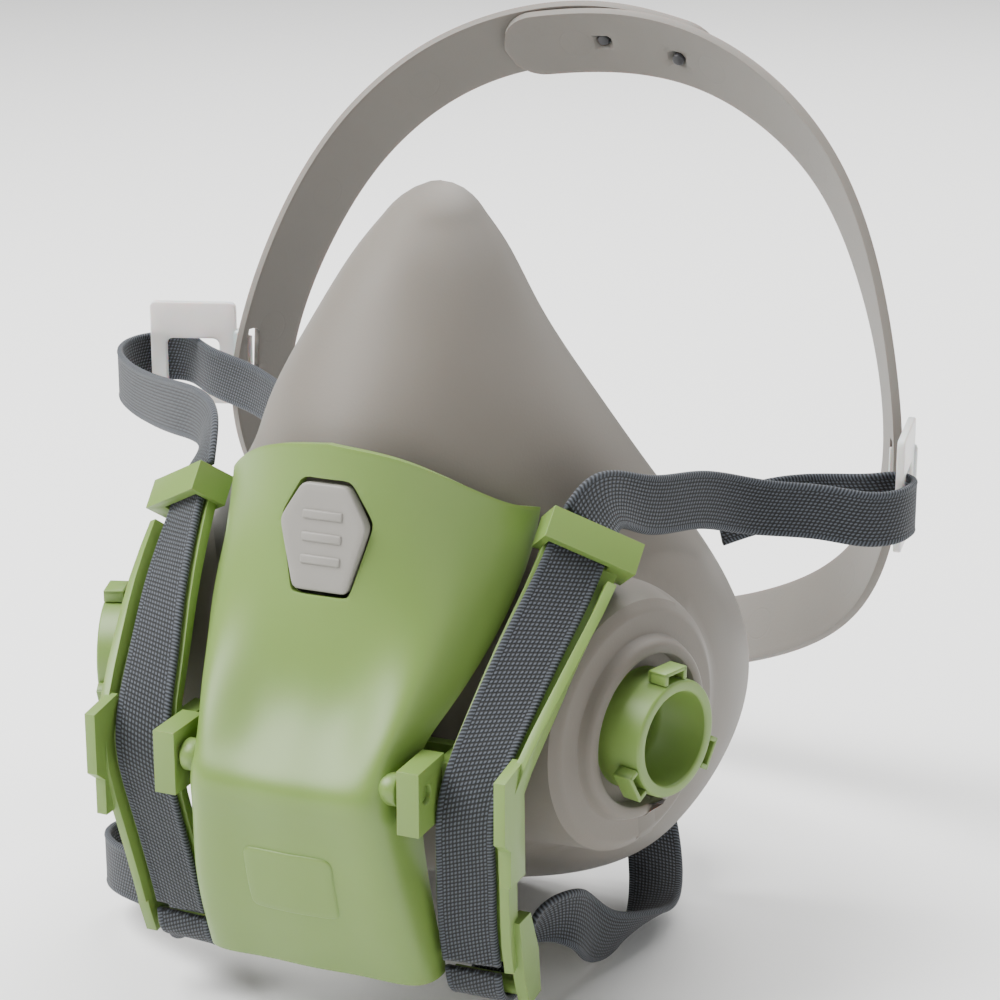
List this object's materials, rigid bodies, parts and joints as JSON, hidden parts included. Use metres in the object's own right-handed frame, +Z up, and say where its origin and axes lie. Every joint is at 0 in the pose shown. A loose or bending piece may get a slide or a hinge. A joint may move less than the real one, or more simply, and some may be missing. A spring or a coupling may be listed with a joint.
{
  "type": "half mask respirator",
  "caption": "Reusable half-mask respirator with a soft facepiece, side bayonet ports, a front exhalation cover and a strapped head cradle.",
  "frame": {"origin": "middle of the face seal: the point between the two cheek edges, level with the middle of the wearer's nose and mouth opening", "axes": "+X to the viewer's right when facing the front cover, -Y forward out of the mask, +Z up towards the nose"},
  "size_m": [0.2083, 0.1909, 0.1977],
  "materials": {
    "facepiece_rubber": "matte",
    "cradle_rubber": "satin",
    "green_plastic": "satin",
    "webbing": "woven",
    "clear_plastic": "translucent",
    "valve_rubber": "satin",
    "dark_plastic": "satin"
  },
  "bodies": {
    "mask": {"facepiece": "facepiece_rubber", "size_badge": "facepiece_rubber", "harness_yoke": "green_plastic", "exhalation_seat": "green_plastic", "port_right": "green_plastic", "port_left": "green_plastic", "port_nut_right": "green_plastic", "port_nut_left": "green_plastic", "front_strap_right": "webbing", "front_strap_left": "webbing", "lower_strap_right": "webbing", "lower_strap_left": "webbing", "neck_catch": "dark_plastic"},
    "cover": {"front_cover": "green_plastic"},
    "exhalation_flap": {"exhalation_valve": "valve_rubber"},
    "inhalation_flap_right": {"inhalation_valve_right": "valve_rubber"},
    "inhalation_flap_left": {"inhalation_valve_left": "valve_rubber"},
    "cradle": {"head_cradle": "cradle_rubber", "crown_pegs": "cradle_rubber", "upper_strap_right": "webbing", "upper_strap_left": "webbing"},
    "buckle_right": {"buckle_right": "clear_plastic"},
    "buckle_left": {"buckle_left": "clear_plastic"},
    "neck_hook": {"neck_hook": "dark_plastic"}
  },
  "joints": [
    {"name": "front_cover_tilt", "type": "hinge", "parent": "mask", "child": "cover", "pos_m": [0, -0.107, -0.026], "axis": [1, 0, 0], "range_deg": [0, 12]},
    {"name": "exhalation_lift", "type": "slide", "parent": "mask", "child": "exhalation_flap", "axis": [0, -1, 0], "range_m": [0, 0.002], "stiffness_N_per_m": 20, "springref_m": -0.001},
    {"name": "inhalation_lift_right", "type": "slide", "parent": "mask", "child": "inhalation_flap_right", "axis": [-0.9489, 0.3156, 0], "range_m": [0, 0.0015], "stiffness_N_per_m": 20, "springref_m": -0.001},
    {"name": "inhalation_lift_left", "type": "slide", "parent": "mask", "child": "inhalation_flap_left", "axis": [0.9489, 0.3156, 0], "range_m": [0, 0.0015], "stiffness_N_per_m": 20, "springref_m": -0.001},
    {"name": "cradle_swing", "type": "hinge", "parent": "mask", "child": "cradle", "pos_m": [0, -0.0615, 0.0178], "axis": [1, 0, 0], "range_deg": [0, 22]},
    {"name": "buckle_swivel_right", "type": "hinge", "parent": "cradle", "child": "buckle_right", "pos_m": [0.08747, 0.03642, 0.0075], "axis": [0, 0, 1], "range_deg": [-6, 0]},
    {"name": "buckle_swivel_left", "type": "hinge", "parent": "cradle", "child": "buckle_left", "pos_m": [-0.08726, 0.03668, 0.0175], "axis": [0, 0, 1], "range_deg": [-7, 4]},
    {"name": "neck_unhook", "type": "slide", "parent": "mask", "child": "neck_hook", "axis": [0, 1, 0], "range_m": [0, 0.004]}
  ]
}
